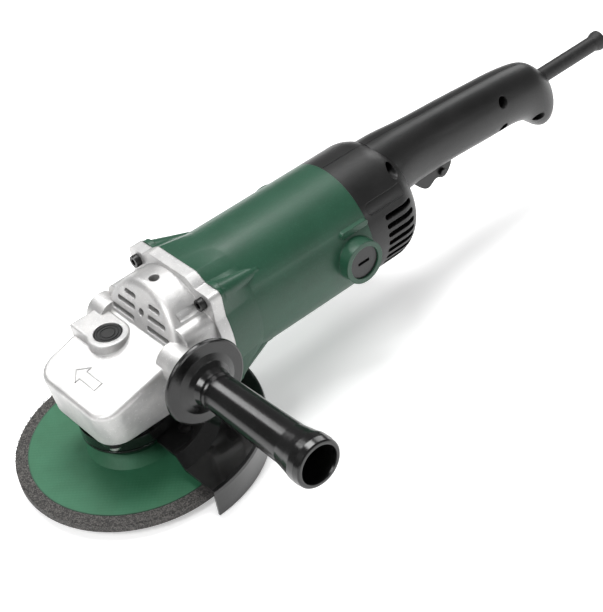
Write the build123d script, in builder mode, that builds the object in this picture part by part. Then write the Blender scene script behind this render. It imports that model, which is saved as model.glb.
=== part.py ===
# Angle grinder for 150 mm discs, as an assembly of separate pieces.
# Millimetres. The origin is the centre of the spindle's free end. +Z runs up the spindle,
# +X runs to the rear along the motor, and the side handle stands out along -Y.
import os
from math import atan, cos, degrees, radians, sin, tan

from build123d import *

os.makedirs("parts", exist_ok=True)

# ---- driving dimensions ----------------------------------------------------------------
# Spindle and disc
motor_z = 71.0              # height of the motor axis over the spindle's end
thread_r = 7.0              # M14 spindle thread
spindle_stub = 3.2          # thread left free under the lock nut
nut_height = 5.0
nut_r = 22.4
nut_pin_circle_r = 17.5
nut_pin_hole_r = 2.65
disc_r = 75.0
disc_thickness = 6.0
disc_depression = 6.0       # how far the hub stands above the rim
disc_hub_r = 22.5
disc_cone_r = 29.5
disc_bore_r = 11.115
label_r = 66.9
label_thickness = 0.35
flange_r = 20.0
flange_thickness = 5.0
register_r = 8.8            # spindle diameter that centres the inner flange

# Main bearing and its box
bearing_bore_r = 7.5
bearing_outer_r = 17.5
bearing_width = 11.0
collar_height = 6.8         # spindle collar between flange and bearing
collar_r = 10.0
neck_r = 26.5
neck_length = 12.0
box_plate_thickness = 5.0
box_half = 30.0
box_screw_at = 24.0
spigot_r = 27.0
spigot_height = 3.0

# Gears
pinion_teeth = 11
gear_teeth = 42
gear_module = 1.3
face_width = 6.5
addendum_share = 0.75
dedendum_share = 1.0
tooth_share = 0.40          # tooth thickness as a share of the pitch, for backlash
pressure_angle = 22.0

# Gear case
case_bottom_z = 41.0
case_front = 32.0           # distance of the lower front edge from the spindle axis
case_half_width = 34.5
case_corner_r = 15.0
case_draft = 6.0
roof_at_spindle = 3.5       # roof height over the motor axis, above the spindle
roof_slope = 0.25
dome_r = 38.5
dome_foot_x = 22.0
dome_lean = 18.0
dome_wall = 3.2
flange_front_x = 52.5
joint_x = 60.6              # joint between gear case and motor housing
body_half_width = 41.0
body_front_x = 31.0
body_top = 22.0             # shoulder height over the motor axis
plate_half_width = 45.7
plate_half_height = 41.8
case_screw_y = 33.0
case_screw_z = 29.8
case_screw_head_r = 4.0
case_screw_r = 2.3

top_hole_inside = 28.0      # inner end of the top hole over the motor axis
top_hole_x = 42.3           # threaded hole on the dome's top
slot_height = 3.6
# Each air slot: height over the motor axis, inner end, outer end
air_slots = [(13.5, 6.5, 29.5), (20.5, 6.5, 24.5), (27.5, 6.5, 18.0)]

# Lock button
button_x = 9.3
button_y = 13.0
button_top = 10.0           # above the motor axis
button_r = 8.8
button_boss_r = 13.2
button_travel = 5.0
pin_r = 3.0

# Side handle
handle_x = 25.1
handle_over_motor = 2.9
handle_seat_y = 53.0        # distance of the handle's seat from the centre plane
handle_end_y = 164.4
handle_boss_r = 12.4
right_seat_y = 44.0          # seat of the spare handle hole
right_boss_r = 11.5
right_thread_depth = 9.0
handle_thread_r = 3.4       # core of an M8 thread
handle_thread_depth = 16.0
stud_r = 3.35

# Motor
housing_r = 41.9
housing_wall = 3.4
rear_joint_x = 177.3
stator_r = 37.0
stator_front_x = 88.0
stator_rear_x = 138.0
armature_r = 20.5
air_gap = 0.8
commutator_r = 14.3
brush_x = 162.5
brush_boss_r = 14.6
brush_boss_y = 49.5
brush_cap_r = 11.2
front_bearing_x = 32.6
rear_bearing_x = 178.0

# Tail handle
bulb_end_x = 227.0
bulb_round = 23.0
tail_wall = 2.6
# Each station: x, height of the centre over the motor axis, half width, half height
grip_stations = [
    (214.0, 12.0, 24.0, 28.2),
    (228.0, 16.5, 22.5, 23.4),
    (246.0, 16.8, 20.0, 22.0),
    (284.0, 15.4, 19.0, 21.0),
    (318.0, 13.2, 18.6, 20.8),
    (340.0, 11.4, 18.4, 20.6),
    (352.0, 8.0, 18.3, 22.0),
    (361.0, 2.5, 18.0, 24.5),
    (368.0, -2.5, 16.5, 23.5),
    (374.0, -3.0, 12.5, 17.5),
]
trigger_front_x = 243.5
trigger_rear_x = 280.0
trigger_half_width = 6.8
trigger_pivot_x = 275.5
trigger_pivot_over_motor = 2.0
relief_over_motor = 9.0
relief_r = 5.6
relief_bore_r = 3.9
relief_end_x = 435.0

# Clearances
running = 0.05              # radial, between a shaft and what it turns in
free = 0.4                  # between moving pieces that are no fit

# ---- derived places --------------------------------------------------------------------
hub_bottom_z = spindle_stub + nut_height
seat_z = hub_bottom_z + disc_thickness
rim_top_z = seat_z - disc_depression
rim_bottom_z = rim_top_z - disc_thickness
flange_top_z = seat_z + flange_thickness
bearing_z = flange_top_z + collar_height
bearing_top_z = bearing_z + bearing_width
neck_bottom_z = case_bottom_z - box_plate_thickness - neck_length
pinion_pitch_r = pinion_teeth * gear_module / 2
gear_pitch_r = gear_teeth * gear_module / 2
gear_slope = atan(pinion_teeth / gear_teeth)
cone_length = gear_pitch_r / cos(gear_slope)
roof_z = motor_z + roof_at_spindle
gear_tip_z = motor_z - pinion_pitch_r + addendum_share * gear_module
ceiling_z = gear_tip_z + 0.5
web_top_z = motor_z - 10.5
gear_bottom_z = web_top_z - 6.5
button_circle_r = (button_x**2 + button_y**2) ** 0.5
button_angle = degrees(atan(button_y / button_x))
handle_z = motor_z + handle_over_motor
relief_z = motor_z + relief_over_motor

motor_axis = Axis((0, 0, motor_z), (1, 0, 0))
handle_axis = Axis((handle_x, 0, handle_z), (0, 1, 0))


# ---- small helpers ---------------------------------------------------------------------
def across(x, height=motor_z):
    """A plane square to the motor axis, its centre on that axis."""
    return Plane(origin=(x, 0, height), x_dir=(0, 1, 0), z_dir=(1, 0, 0))


def side_plane(x, z, side):
    """A plane square to Y on the centre plane, facing the side that side names."""
    return Plane(origin=(x, 0, z), x_dir=(1, 0, 0), z_dir=(0, side, 0))


def turn(outline, axis=Axis.Z, mode=Mode.ADD):
    """Turn a closed outline of (x, z) points about an axis in the XZ plane."""
    with BuildSketch(Plane.XZ) as profile:
        with BuildLine():
            Polyline(*outline, close=True)
        make_face()
    revolve(profile.sketch, axis=axis, mode=mode)


def turn_motor(outline, mode=Mode.ADD):
    """Turn a closed outline of (x, radius) points about the motor axis."""
    turn([(x, motor_z + r) for x, r in outline], axis=motor_axis, mode=mode)


def tube(outer_r, inner_r, start, end, plane=Plane.XY, mode=Mode.ADD):
    """A ring between two heights over a plane."""
    with BuildSketch(plane.offset(start)) as section:
        Circle(outer_r)
        if inner_r:
            Circle(inner_r, mode=Mode.SUBTRACT)
    extrude(section.sketch, amount=end - start, mode=mode)


def rod(radius, start, end, plane=Plane.XY, mode=Mode.ADD):
    """A round bar between two heights over a plane."""
    tube(radius, 0, start, end, plane, mode)


def sector(inner_r, outer_r, start_angle, sweep):
    """A sketch face between two radii and two angles."""
    with BuildSketch() as face:
        with BuildLine():
            inner = CenterArc((0, 0), inner_r, start_angle, sweep)
            outer = CenterArc((0, 0), outer_r, start_angle, sweep)
            Line(inner @ 0, outer @ 0)
            Line(inner @ 1, outer @ 1)
        make_face()
    return face.sketch


def bearing_rings(bore_r, outer_r):
    """Radii of the inner ring's track and the outer ring's track, and the ball's radius."""
    middle = (bore_r + outer_r) / 2
    land = (outer_r - bore_r) * 0.18
    ball = (outer_r - bore_r) * 0.27
    return middle, land, ball


motor_plane = across(0)
# Distances along the handle plane's normal are distances from the centre plane to -Y
handle_plane = Plane(origin=(handle_x, 0, handle_z), x_dir=(1, 0, 0), z_dir=(0, -1, 0))

# ---- spindle, disc and gear ------------------------------------------------------------
journal_r = 4.0
journal_bottom_z = web_top_z + 2.1
journal_top_z = journal_bottom_z + 7.2
gear_seat_r = 6.5

with BuildPart() as spindle:
    turn([
        (0, 0),
        (thread_r, 0),
        (thread_r, spindle_stub - 0.2),
        (thread_r - 0.4, spindle_stub - 0.2),
        (thread_r - 0.4, spindle_stub + 0.4),
        (thread_r, spindle_stub + 0.4),
        (thread_r, seat_z - 2.5),
        (register_r, seat_z - 2.0),
        (register_r, flange_top_z),
        (collar_r, flange_top_z),
        (collar_r, bearing_z),
        (bearing_bore_r, bearing_z),
        (bearing_bore_r, bearing_top_z),
        (gear_seat_r, bearing_top_z),
        (gear_seat_r, journal_bottom_z - 0.6),
        (journal_r, journal_bottom_z - 0.3),
        (journal_r, journal_top_z - 0.5),
        (journal_r - 0.5, journal_top_z),
        (0, journal_top_z),
    ])
    # Hexagon socket in the free end
    with BuildSketch(Plane.XY):
        RegularPolygon(radius=3.4, side_count=6)
    extrude(amount=6, mode=Mode.SUBTRACT)
    # Groove for the retaining ring
    tube(gear_seat_r + 1, gear_seat_r - 0.8, web_top_z, web_top_z + 1.0, mode=Mode.SUBTRACT)
spindle.part.label = "spindle"
export_step(spindle.part, "parts/spindle.step")

with BuildPart() as gear_retaining_ring:
    tube(gear_seat_r + 2.4, gear_seat_r - 0.8, web_top_z, web_top_z + 1.0)
    with BuildSketch(Plane.XY.offset(web_top_z)):
        with Locations((-(gear_seat_r + 1), 0)):
            Rectangle(6, 3)
    extrude(amount=1.0, mode=Mode.SUBTRACT)
gear_retaining_ring.part.label = "gear_retaining_ring"
export_step(gear_retaining_ring.part, "parts/gear_retaining_ring.step")

# Bevel gear: the pitch cones meet at the crossing of the spindle and motor axes
addendum = addendum_share * gear_module
dedendum = dedendum_share * gear_module
inner_share = (cone_length - face_width) / cone_length
gear_out = Vector(cos(gear_slope), 0, -sin(gear_slope))
gear_up = Vector(sin(gear_slope), 0, cos(gear_slope))
cone_tip = Vector(0, 0, motor_z)
gear_root_out = cone_tip + gear_out * cone_length - gear_up * dedendum
gear_root_in = cone_tip + (gear_root_out - cone_tip) * inner_share
gear_crown = gear_root_in - gear_out * 0.9
tooth_pitch = 3.141593 * gear_module


def tooth_faces(out, up, sink):
    """The tooth's section at the outer and at the inner end of the face width."""
    faces = []
    for share in (1.0, inner_share):
        plane = Plane(origin=cone_tip + out * (cone_length * share), x_dir=Vector(0, 1, 0), z_dir=out)
        rise = 1 if plane.y_dir.dot(up) > 0 else -1
        half = tooth_share * tooth_pitch / 2
        lean = tan(radians(pressure_angle))
        foot = half + (dedendum + sink) * lean
        tip = half - addendum * lean
        with BuildSketch(plane) as section:
            with BuildLine():
                Polyline(
                    (-foot * share, -(dedendum + sink) * share * rise),
                    (foot * share, -(dedendum + sink) * share * rise),
                    (tip * share, addendum * share * rise),
                    (-tip * share, addendum * share * rise),
                    close=True,
                )
            make_face()
        faces.append(section.sketch)
    return faces


with BuildPart() as gear_tooth:
    loft(tooth_faces(gear_out, gear_up, 0.4), ruled=True)

with BuildPart() as bevel_gear:
    turn([
        (gear_seat_r, bearing_top_z),
        (gear_seat_r + 3.5, bearing_top_z),
        (gear_seat_r + 3.5, gear_bottom_z),
        (gear_root_out.X - 3.0, gear_bottom_z),
        (gear_root_out.X - 1.3, gear_bottom_z + 3.6),
        (gear_root_out.X, gear_root_out.Z),
        (gear_crown.X, gear_crown.Z),
        (gear_crown.X - 0.8, web_top_z),
        (gear_seat_r, web_top_z),
    ])
    with PolarLocations(0, gear_teeth):
        add(gear_tooth.part)
    # Four holes that the lock pin drops into
    with BuildSketch(Plane.XY.offset(gear_bottom_z)):
        with PolarLocations(button_circle_r, 4, start_angle=button_angle):
            Circle(pin_r + free)
    extrude(amount=web_top_z - gear_bottom_z, mode=Mode.SUBTRACT)
bevel_gear.part.label = "bevel_gear"
export_step(bevel_gear.part, "parts/bevel_gear.step")

with BuildPart() as inner_flange:
    turn([
        (register_r, seat_z - 2.0),
        (disc_bore_r - 0.115, seat_z - 2.0),
        (disc_bore_r - 0.115, seat_z),
        (flange_r - 4.5, seat_z),
        (flange_r - 4.5, seat_z + 0.5),
        (flange_r - 3.5, seat_z),
        (flange_r, seat_z),
        (flange_r, seat_z + 2.0),
        (flange_r - 3.0, flange_top_z),
        (register_r, flange_top_z),
    ])
inner_flange.part.label = "inner_flange"
export_step(inner_flange.part, "parts/inner_flange.step")


def disc_surface(height):
    """Outline of the disc's upper surface, raised by a height, from the bore outwards."""
    return [
        (disc_bore_r + 1.0, seat_z + height),
        (disc_hub_r, seat_z + height),
        (disc_cone_r, rim_top_z + height),
    ]


with BuildPart() as grinding_disc:
    turn(
        disc_surface(0)
        + [
            (disc_r - 0.5, rim_top_z),
            (disc_r, rim_top_z - 0.5),
            (disc_r, rim_bottom_z + 0.5),
            (disc_r - 0.5, rim_bottom_z),
            (disc_cone_r + 2.6, rim_bottom_z),
            (disc_hub_r + 2.6, hub_bottom_z),
            (disc_bore_r + 1.0, hub_bottom_z),
        ]
    )
grinding_disc.part.label = "grinding_disc"
export_step(grinding_disc.part, "parts/grinding_disc.step")

with BuildPart() as disc_bushing:
    tube(disc_bore_r + 1.0, disc_bore_r, hub_bottom_z, seat_z)
disc_bushing.part.label = "disc_bushing"
export_step(disc_bushing.part, "parts/disc_bushing.step")

with BuildPart() as disc_label:
    label_in = [(flange_r + 0.3, seat_z), (disc_hub_r, seat_z), (disc_cone_r, rim_top_z), (label_r, rim_top_z)]
    turn(label_in + [(x, z + label_thickness) for x, z in reversed(label_in)])
disc_label.part.label = "disc_label"
export_step(disc_label.part, "parts/disc_label.step")

with BuildPart() as lock_nut:
    turn([
        (thread_r + running, spindle_stub),
        (14.35, spindle_stub),
        (14.35, spindle_stub + 0.8),
        (nut_r - 0.8, spindle_stub + 0.8),
        (nut_r, spindle_stub + 1.6),
        (nut_r, hub_bottom_z),
        (disc_bore_r - 0.215, hub_bottom_z),
        (disc_bore_r - 0.215, hub_bottom_z + 1.5),
        (thread_r + running, hub_bottom_z + 1.5),
    ])
    with BuildSketch(Plane.XY.offset(spindle_stub)):
        with PolarLocations(nut_pin_circle_r, 4, start_angle=45):
            Circle(nut_pin_hole_r)
    extrude(amount=nut_height - 0.6, mode=Mode.SUBTRACT)
lock_nut.part.label = "lock_nut"
export_step(lock_nut.part, "parts/lock_nut.step")


def make_bearing(name, bore_r, outer_r, width, start, plane, balls):
    """A deep groove ball bearing as outer ring, inner ring and balls."""
    middle, land, ball = bearing_rings(bore_r, outer_r)
    track = start + width / 2
    with BuildPart() as outer:
        tube(outer_r, outer_r - land, start, start + width, plane)
    with BuildPart() as inner:
        tube(bore_r + land, bore_r, start, start + width, plane)
    with BuildPart() as ball_set:
        with Locations(plane.offset(track)):
            with PolarLocations(middle, balls):
                Sphere(ball - 0.04)
    with BuildPart() as outer_ring:
        add(outer.part)
        with Locations(plane.offset(track)):
            Torus(middle, ball, mode=Mode.SUBTRACT)
    with BuildPart() as inner_ring:
        add(inner.part)
        with Locations(plane.offset(track)):
            Torus(middle, ball, mode=Mode.SUBTRACT)
    for piece, suffix in ((outer_ring, "outer"), (inner_ring, "inner"), (ball_set, "balls")):
        piece.part.label = f"{name}_{suffix}"
        export_step(piece.part, f"parts/{name}_{suffix}.step")


make_bearing("spindle_bearing", bearing_bore_r, bearing_outer_r, bearing_width, bearing_z, Plane.XY, 8)

with BuildPart() as spindle_top_bush:
    tube(journal_r + 2.5, journal_r + running, journal_bottom_z + 0.2, journal_top_z + 0.2)
spindle_top_bush.part.label = "spindle_top_bush"
export_step(spindle_top_bush.part, "parts/spindle_top_bush.step")

with BuildPart() as bearing_retainer:
    tube(bearing_outer_r, bearing_outer_r - 3.6, bearing_top_z, bearing_top_z + 2.5)
    with BuildSketch(Plane.XY.offset(bearing_top_z + 1.0)):
        with PolarLocations(bearing_outer_r - 1.8, 4):
            Circle(1.1)
    extrude(amount=1.5, mode=Mode.SUBTRACT)
bearing_retainer.part.label = "bearing_retainer"
export_step(bearing_retainer.part, "parts/bearing_retainer.step")

with BuildPart() as spindle_seal:
    tube(collar_r + 3.0, collar_r + free, neck_bottom_z + 0.3, bearing_z)
spindle_seal.part.label = "spindle_seal"
export_step(spindle_seal.part, "parts/spindle_seal.step")

# ---- bearing box and guard -------------------------------------------------------------
with BuildPart() as bearing_box:
    with BuildSketch(Plane.XY.offset(case_bottom_z - box_plate_thickness)):
        RectangleRounded(2 * box_half, 2 * box_half, 9)
    extrude(amount=box_plate_thickness)
    rod(neck_r, neck_bottom_z, case_bottom_z - box_plate_thickness)
    rod(spigot_r, case_bottom_z, case_bottom_z + spigot_height)
    rod(collar_r + 3.0, neck_bottom_z, bearing_z, mode=Mode.SUBTRACT)
    rod(bearing_outer_r, bearing_z, case_bottom_z + spigot_height, mode=Mode.SUBTRACT)
    with BuildSketch(Plane.XY.offset(case_bottom_z - box_plate_thickness)):
        with GridLocations(2 * box_screw_at, 2 * box_screw_at, 2, 2):
            Circle(2.25)
    extrude(amount=box_plate_thickness, mode=Mode.SUBTRACT)
bearing_box.part.label = "bearing_box"
export_step(bearing_box.part, "parts/bearing_box.step")

with BuildPart() as bearing_box_screws:
    with BuildSketch(Plane.XY.offset(case_bottom_z - box_plate_thickness - 2.8)):
        with GridLocations(2 * box_screw_at, 2 * box_screw_at, 2, 2):
            Circle(3.9)
    extrude(amount=2.8)
    with BuildSketch(Plane.XY.offset(case_bottom_z - box_plate_thickness)):
        with GridLocations(2 * box_screw_at, 2 * box_screw_at, 2, 2):
            Circle(2.0)
    extrude(amount=box_plate_thickness + 7.0)
    with BuildSketch(Plane.XY.offset(case_bottom_z - box_plate_thickness - 2.8)):
        with GridLocations(2 * box_screw_at, 2 * box_screw_at, 2, 2):
            Rectangle(4.6, 1.1)
            Rectangle(1.1, 4.6)
    extrude(amount=1.6, mode=Mode.SUBTRACT)
bearing_box_screws.part.label = "bearing_box_screws"
export_step(bearing_box_screws.part, "parts/bearing_box_screws.step")

guard_r = 86.0
guard_sheet = 1.6
guard_top_z = neck_bottom_z + 0.6
guard_step_z = guard_top_z - 7.0
guard_bottom_z = -2.0
guard_collar_r = neck_r + free
clamp_r = guard_collar_r + guard_sheet

with BuildPart() as guard:
    # The half round sheet, drawn as its upper side and its underside
    upper = [
        (guard_collar_r, guard_top_z),
        (50.0, guard_top_z),
        (58.0, guard_step_z),
        (guard_r - 2.4, guard_step_z),
        (guard_r - 0.7, guard_step_z - 0.7),
        (guard_r, guard_step_z - 2.4),
        (guard_r, guard_bottom_z),
    ]
    under = [
        (guard_r - guard_sheet, guard_bottom_z),
        (guard_r - guard_sheet, guard_step_z - 2.8),
        (guard_r - 2.8, guard_step_z - guard_sheet),
        (57.3, guard_step_z - guard_sheet),
        (49.3, guard_top_z - guard_sheet),
        (guard_collar_r, guard_top_z - guard_sheet),
    ]
    turn(upper + under)
    with BuildSketch(Plane.XY.offset(guard_bottom_z - 1)):
        with Locations((-guard_r, 0)):
            Rectangle(2 * guard_r, 2 * guard_r + 10)
    extrude(amount=60, mode=Mode.SUBTRACT)
    # The collar round the neck, and the ring that joins it to the sheet
    tube(clamp_r, guard_collar_r, guard_top_z - guard_sheet, guard_top_z + 9.0)
    tube(clamp_r + 1.4, guard_collar_r, guard_top_z - guard_sheet, guard_top_z)
    # The collar's slit, under the clamp's lugs
    with BuildSketch(Plane.XY.offset(guard_top_z - guard_sheet - 1)):
        with Locations((0, -guard_collar_r)):
            Rectangle(3.0, 8.0)
    extrude(amount=12, mode=Mode.SUBTRACT)
guard.part.label = "guard"
export_step(guard.part, "parts/guard.step")

clamp_sheet = 1.5
clamp_bottom_z = guard_top_z + 0.8
clamp_height = 7.4
lug_length = 9.0
lug_gap = 3.0
lug_sheet = 2.0
clamp_screw_x = clamp_r + lug_length / 2
clamp_screw_z = clamp_bottom_z + clamp_height / 2

with BuildPart() as guard_clamp:
    tube(clamp_r + clamp_sheet, clamp_r, clamp_bottom_z, clamp_bottom_z + clamp_height)
    with BuildSketch(Plane.XY.offset(clamp_bottom_z)):
        with Locations((clamp_r + lug_length / 2, 0)):
            Rectangle(lug_length, lug_gap + 2 * lug_sheet)
        Circle(clamp_r + clamp_sheet / 2, mode=Mode.SUBTRACT)
    extrude(amount=clamp_height)
    with BuildSketch(Plane.XY.offset(clamp_bottom_z)):
        with Locations((clamp_r + lug_length / 2, 0)):
            Rectangle(lug_length + 4, lug_gap)
    extrude(amount=clamp_height, mode=Mode.SUBTRACT)
    with BuildSketch(Plane(origin=(clamp_screw_x, -10, clamp_screw_z), z_dir=(0, 1, 0))):
        Circle(2.0)
    extrude(amount=20, mode=Mode.SUBTRACT)
guard_clamp.part.label = "guard_clamp"
export_step(guard_clamp.part, "parts/guard_clamp.step")

with BuildPart() as guard_clamp_screw:
    screw_plane = Plane(origin=(clamp_screw_x, 0, clamp_screw_z), z_dir=(0, -1, 0))
    lug_face = lug_gap / 2 + lug_sheet
    rod(1.9, -lug_face - 3.5, lug_face, screw_plane)
    rod(3.4, lug_face, lug_face + 3.2, screw_plane)
    with BuildSketch(screw_plane.offset(-lug_face - 3.0)):
        RegularPolygon(radius=3.5, side_count=6)
    extrude(amount=3.0)
    with BuildSketch(screw_plane.offset(lug_face + 1.4)):
        RegularPolygon(radius=1.8, side_count=6)
    extrude(amount=1.8, mode=Mode.SUBTRACT)
guard_clamp_screw.part.label = "guard_clamp_screw"
export_step(guard_clamp_screw.part, "parts/guard_clamp_screw.step")

# ---- gear case -------------------------------------------------------------------------
dome_foot_z = motor_z + 2.0
bearing_boss_r = 16.6
web_rear_x = front_bearing_x + 8.0
screw_spots = [
    (side * case_screw_y, level * case_screw_z) for side in (-1, 1) for level in (-1, 1)
]


def plate_outline():
    """The rounded square of the flange between gear case and motor housing."""
    with BuildSketch() as outline:
        Circle(plate_half_width)
        Rectangle(2 * (case_screw_y + 8.5), 2 * (case_screw_z + 7.0))
        Rectangle(2 * plate_half_width, 200, mode=Mode.INTERSECT)
        with Locations((0, plate_half_height + 20), (0, -plate_half_height - 20)):
            Rectangle(200, 40, mode=Mode.SUBTRACT)
        corners = outline.vertices().filter_by(lambda v: abs(v.X) > case_screw_y + 8)
        fillet(corners, 4.0)
    return outline.sketch


flange_outline = plate_outline()
lean_normal = Vector(-cos(radians(dome_lean)), 0, sin(radians(dome_lean)))


def leaning_plane(setback):
    """The dome's leaning front face, set back by a wall."""
    origin = Vector(dome_foot_x + setback / cos(radians(dome_lean)), 0, dome_foot_z)
    return Plane(origin=origin, x_dir=(0, 1, 0), z_dir=lean_normal)


with BuildPart() as dome:
    rod(dome_r, dome_foot_x - 4, flange_front_x, motor_plane)
    split(bisect_by=leaning_plane(0), keep=Keep.BOTTOM)
    fillet(dome.edges().filter_by(lambda e: e.bounding_box().max.X < flange_front_x - 1), 5.6)
    # In front of the bearing wall the dome ends at the case's bottom
    with BuildSketch(Plane.XY.offset(case_bottom_z)):
        with Locations((web_rear_x - 1.0 - 50.0, 0)):
            Rectangle(100.0, 120.0)
    extrude(amount=-30.0, mode=Mode.SUBTRACT)

with BuildPart() as air_chamber:
    rod(dome_r - dome_wall, dome_foot_x - 4, joint_x, motor_plane)
    split(bisect_by=leaning_plane(dome_wall), keep=Keep.BOTTOM)
    # Keep the wall that carries the front bearing, and the space under it
    with BuildSketch(across(0)) as below:
        with Locations((0, -motor_z / 2 + 13.0)):
            Rectangle(200, motor_z)
    extrude(amount=web_rear_x, mode=Mode.SUBTRACT)
    rod(bearing_boss_r, 0, web_rear_x, motor_plane, mode=Mode.SUBTRACT)

with BuildPart() as head_blank:
    with BuildSketch(Plane.XY.offset(case_bottom_z)):
        with Locations(((flange_front_x - case_front) / 2, 0)):
            Rectangle(flange_front_x + case_front, 2 * case_half_width)
    extrude(amount=60, taper=-case_draft)
    upright = head_blank.edges().filter_by(lambda e: e.bounding_box().size.Z > 40).sort_by(Axis.X)
    fillet(upright[0:2], case_corner_r)
    with BuildSketch(across(flange_front_x)):
        Rectangle(300, 300)
    extrude(amount=40, mode=Mode.SUBTRACT)

with BuildPart() as head_block:
    add(head_blank.part)
    roof = Plane(origin=(0, 0, roof_z), x_dir=(0, 1, 0), z_dir=Vector(-roof_slope, 0, 1))
    split(bisect_by=roof, keep=Keep.BOTTOM)
    roof_face = head_block.faces().filter_by(lambda f: f.normal_at().Z > 0.9).sort_by(Axis.Z)[-1]
    roof_edges = roof_face.edges().filter_by(lambda e: e.bounding_box().min.X < flange_front_x - 2)
    fillet(roof_edges, 3.2)

# Raised boss round the lock button, run out to the far edge of the roof
with BuildPart() as button_boss:
    with BuildSketch(Plane.XY.offset(motor_z - 2.0)):
        with Locations((button_x, button_y)):
            Circle(button_boss_r)
        with Locations((button_x + 1.0, button_y + 15.0)):
            Rectangle(2 * button_boss_r - 2.0, 30.0)
    extrude(amount=button_top + 2.0)
    add(head_blank.part, mode=Mode.INTERSECT)
    boss_rim = button_boss.faces().sort_by(Axis.Z)[-1].edges()
    fillet(boss_rim, 1.2)

with BuildPart() as rear_body:
    with BuildSketch(across(body_front_x)):
        with Locations((0, (body_top - motor_z + case_bottom_z) / 2)):
            RectangleRounded(2 * body_half_width, body_top + motor_z - case_bottom_z, 9.0)
    extrude(amount=flange_front_x - body_front_x)


pinion_tip_r = pinion_pitch_r + addendum
pinion_back_x = cone_length * cos(gear_slope) + 1.2
pinion_front_x = pinion_back_x - face_width - 1.8
ear_r = 6.8
ear_front_x = 36.0
inner_ceiling_z = motor_z - (motor_z - gear_tip_z) * inner_share + 0.7

with BuildPart() as gear_case:
    add(head_block.part)
    add(dome.part)
    add(rear_body.part)
    add(button_boss.part)
    with BuildSketch(across(flange_front_x)):
        add(flange_outline)
    extrude(amount=joint_x - flange_front_x)
    # Handle bosses on both sides
    rod(handle_boss_r, 30.0, handle_seat_y, side_plane(handle_x, handle_z, -1))
    rod(right_boss_r, 30.0, right_seat_y, side_plane(handle_x, handle_z, 1))
    # Screwdriver channels in front of the flange screws
    with BuildSketch(across(ear_front_x)):
        with Locations(*screw_spots):
            Circle(ear_r)
    extrude(amount=flange_front_x - ear_front_x, mode=Mode.SUBTRACT)
    with BuildSketch(across(flange_front_x)):
        with Locations(*screw_spots):
            Circle(case_screw_r + 0.3)
    extrude(amount=joint_x - flange_front_x, mode=Mode.SUBTRACT)
    # Room for the gear, its tip standing highest, and for the bearing box's spigot
    turn([
        (0, case_bottom_z),
        (spigot_r + running, case_bottom_z),
        (spigot_r + running, case_bottom_z + spigot_height + 4.0),
        (gear_pitch_r + 1.3, case_bottom_z + spigot_height + 6.0),
        (gear_pitch_r + 1.3, ceiling_z),
        (gear_pitch_r * inner_share - 1.0, inner_ceiling_z),
        (0, inner_ceiling_z),
    ], mode=Mode.SUBTRACT)
    # Boss and bore of the spindle's top bush
    tube(journal_r + 6.0, journal_r + 2.5, journal_bottom_z + 0.2, inner_ceiling_z)
    rod(journal_r + 2.5, journal_bottom_z, journal_top_z + 1.0, mode=Mode.SUBTRACT)
    # Room for the pinion, following its tips
    turn_motor([
        (gear_pitch_r * inner_share - 2.2, 0),
        (gear_pitch_r * inner_share - 2.2, pinion_tip_r * inner_share - 0.1),
        (pinion_back_x + 1.0, pinion_tip_r + 0.9),
        (front_bearing_x, pinion_tip_r + 0.9),
        (front_bearing_x, 13.0),
        (web_rear_x, 13.0),
        (web_rear_x, dome_r - dome_wall),
        (joint_x, dome_r - dome_wall),
        (joint_x, 0),
    ], mode=Mode.SUBTRACT)
    add(air_chamber.part, mode=Mode.SUBTRACT)
    # Bore and guide of the lock button
    button_plane = Plane(origin=(button_x, button_y, motor_z))
    rod(button_r + free, button_top - 9.0, button_top + 20.0, button_plane, mode=Mode.SUBTRACT)
    rod(pin_r + running, -10.0, button_top, button_plane, mode=Mode.SUBTRACT)
    # Threaded holes for the side handle: left, right and top
    left_hole = side_plane(handle_x, handle_z, -1)
    right_hole = side_plane(handle_x, handle_z, 1)
    top_hole = Plane(origin=(top_hole_x, 0, motor_z))
    rod(handle_thread_r, handle_seat_y - handle_thread_depth, handle_seat_y, left_hole, Mode.SUBTRACT)
    rod(handle_thread_r, right_seat_y - right_thread_depth, right_seat_y, right_hole, Mode.SUBTRACT)
    rod(6.5, top_hole_inside, dome_r - dome_wall / 2, top_hole)
    rod(handle_thread_r, top_hole_inside, dome_r + 1.0, top_hole, Mode.SUBTRACT)
    # Air slots: three a side, the lowest the longest
    for height, inner_y, outer_y in air_slots:
        with BuildSketch(across(0)):
            with Locations((-(inner_y + outer_y) / 2, height), ((inner_y + outer_y) / 2, height)):
                SlotOverall(outer_y - inner_y, slot_height)
        extrude(amount=web_rear_x - 1.0, mode=Mode.SUBTRACT)
    # Round hole in the rib between the slots
    with BuildSketch(across(0)):
        with Locations((0, 20.5)):
            Circle(2.6)
    extrude(amount=web_rear_x - 1.0, mode=Mode.SUBTRACT)
    # Screw holes for the bearing box
    with BuildSketch(Plane.XY.offset(case_bottom_z)):
        with GridLocations(2 * box_screw_at, 2 * box_screw_at, 2, 2):
            Circle(2.05)
    extrude(amount=8.0, mode=Mode.SUBTRACT)
gear_case.part.label = "gear_case"
export_step(gear_case.part, "parts/gear_case.step")

with BuildPart() as gear_case_screws:
    with BuildSketch(across(flange_front_x - 4.0)):
        with Locations(*screw_spots):
            Circle(case_screw_head_r)
    extrude(amount=4.0)
    with BuildSketch(across(flange_front_x)):
        with Locations(*screw_spots):
            Circle(case_screw_r)
    extrude(amount=joint_x - flange_front_x + 15.0)
    with BuildSketch(across(flange_front_x - 4.0)):
        with Locations(*screw_spots):
            RegularPolygon(radius=2.3, side_count=6)
    extrude(amount=2.4, mode=Mode.SUBTRACT)
gear_case_screws.part.label = "gear_case_screws"
export_step(gear_case_screws.part, "parts/gear_case_screws.step")

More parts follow.
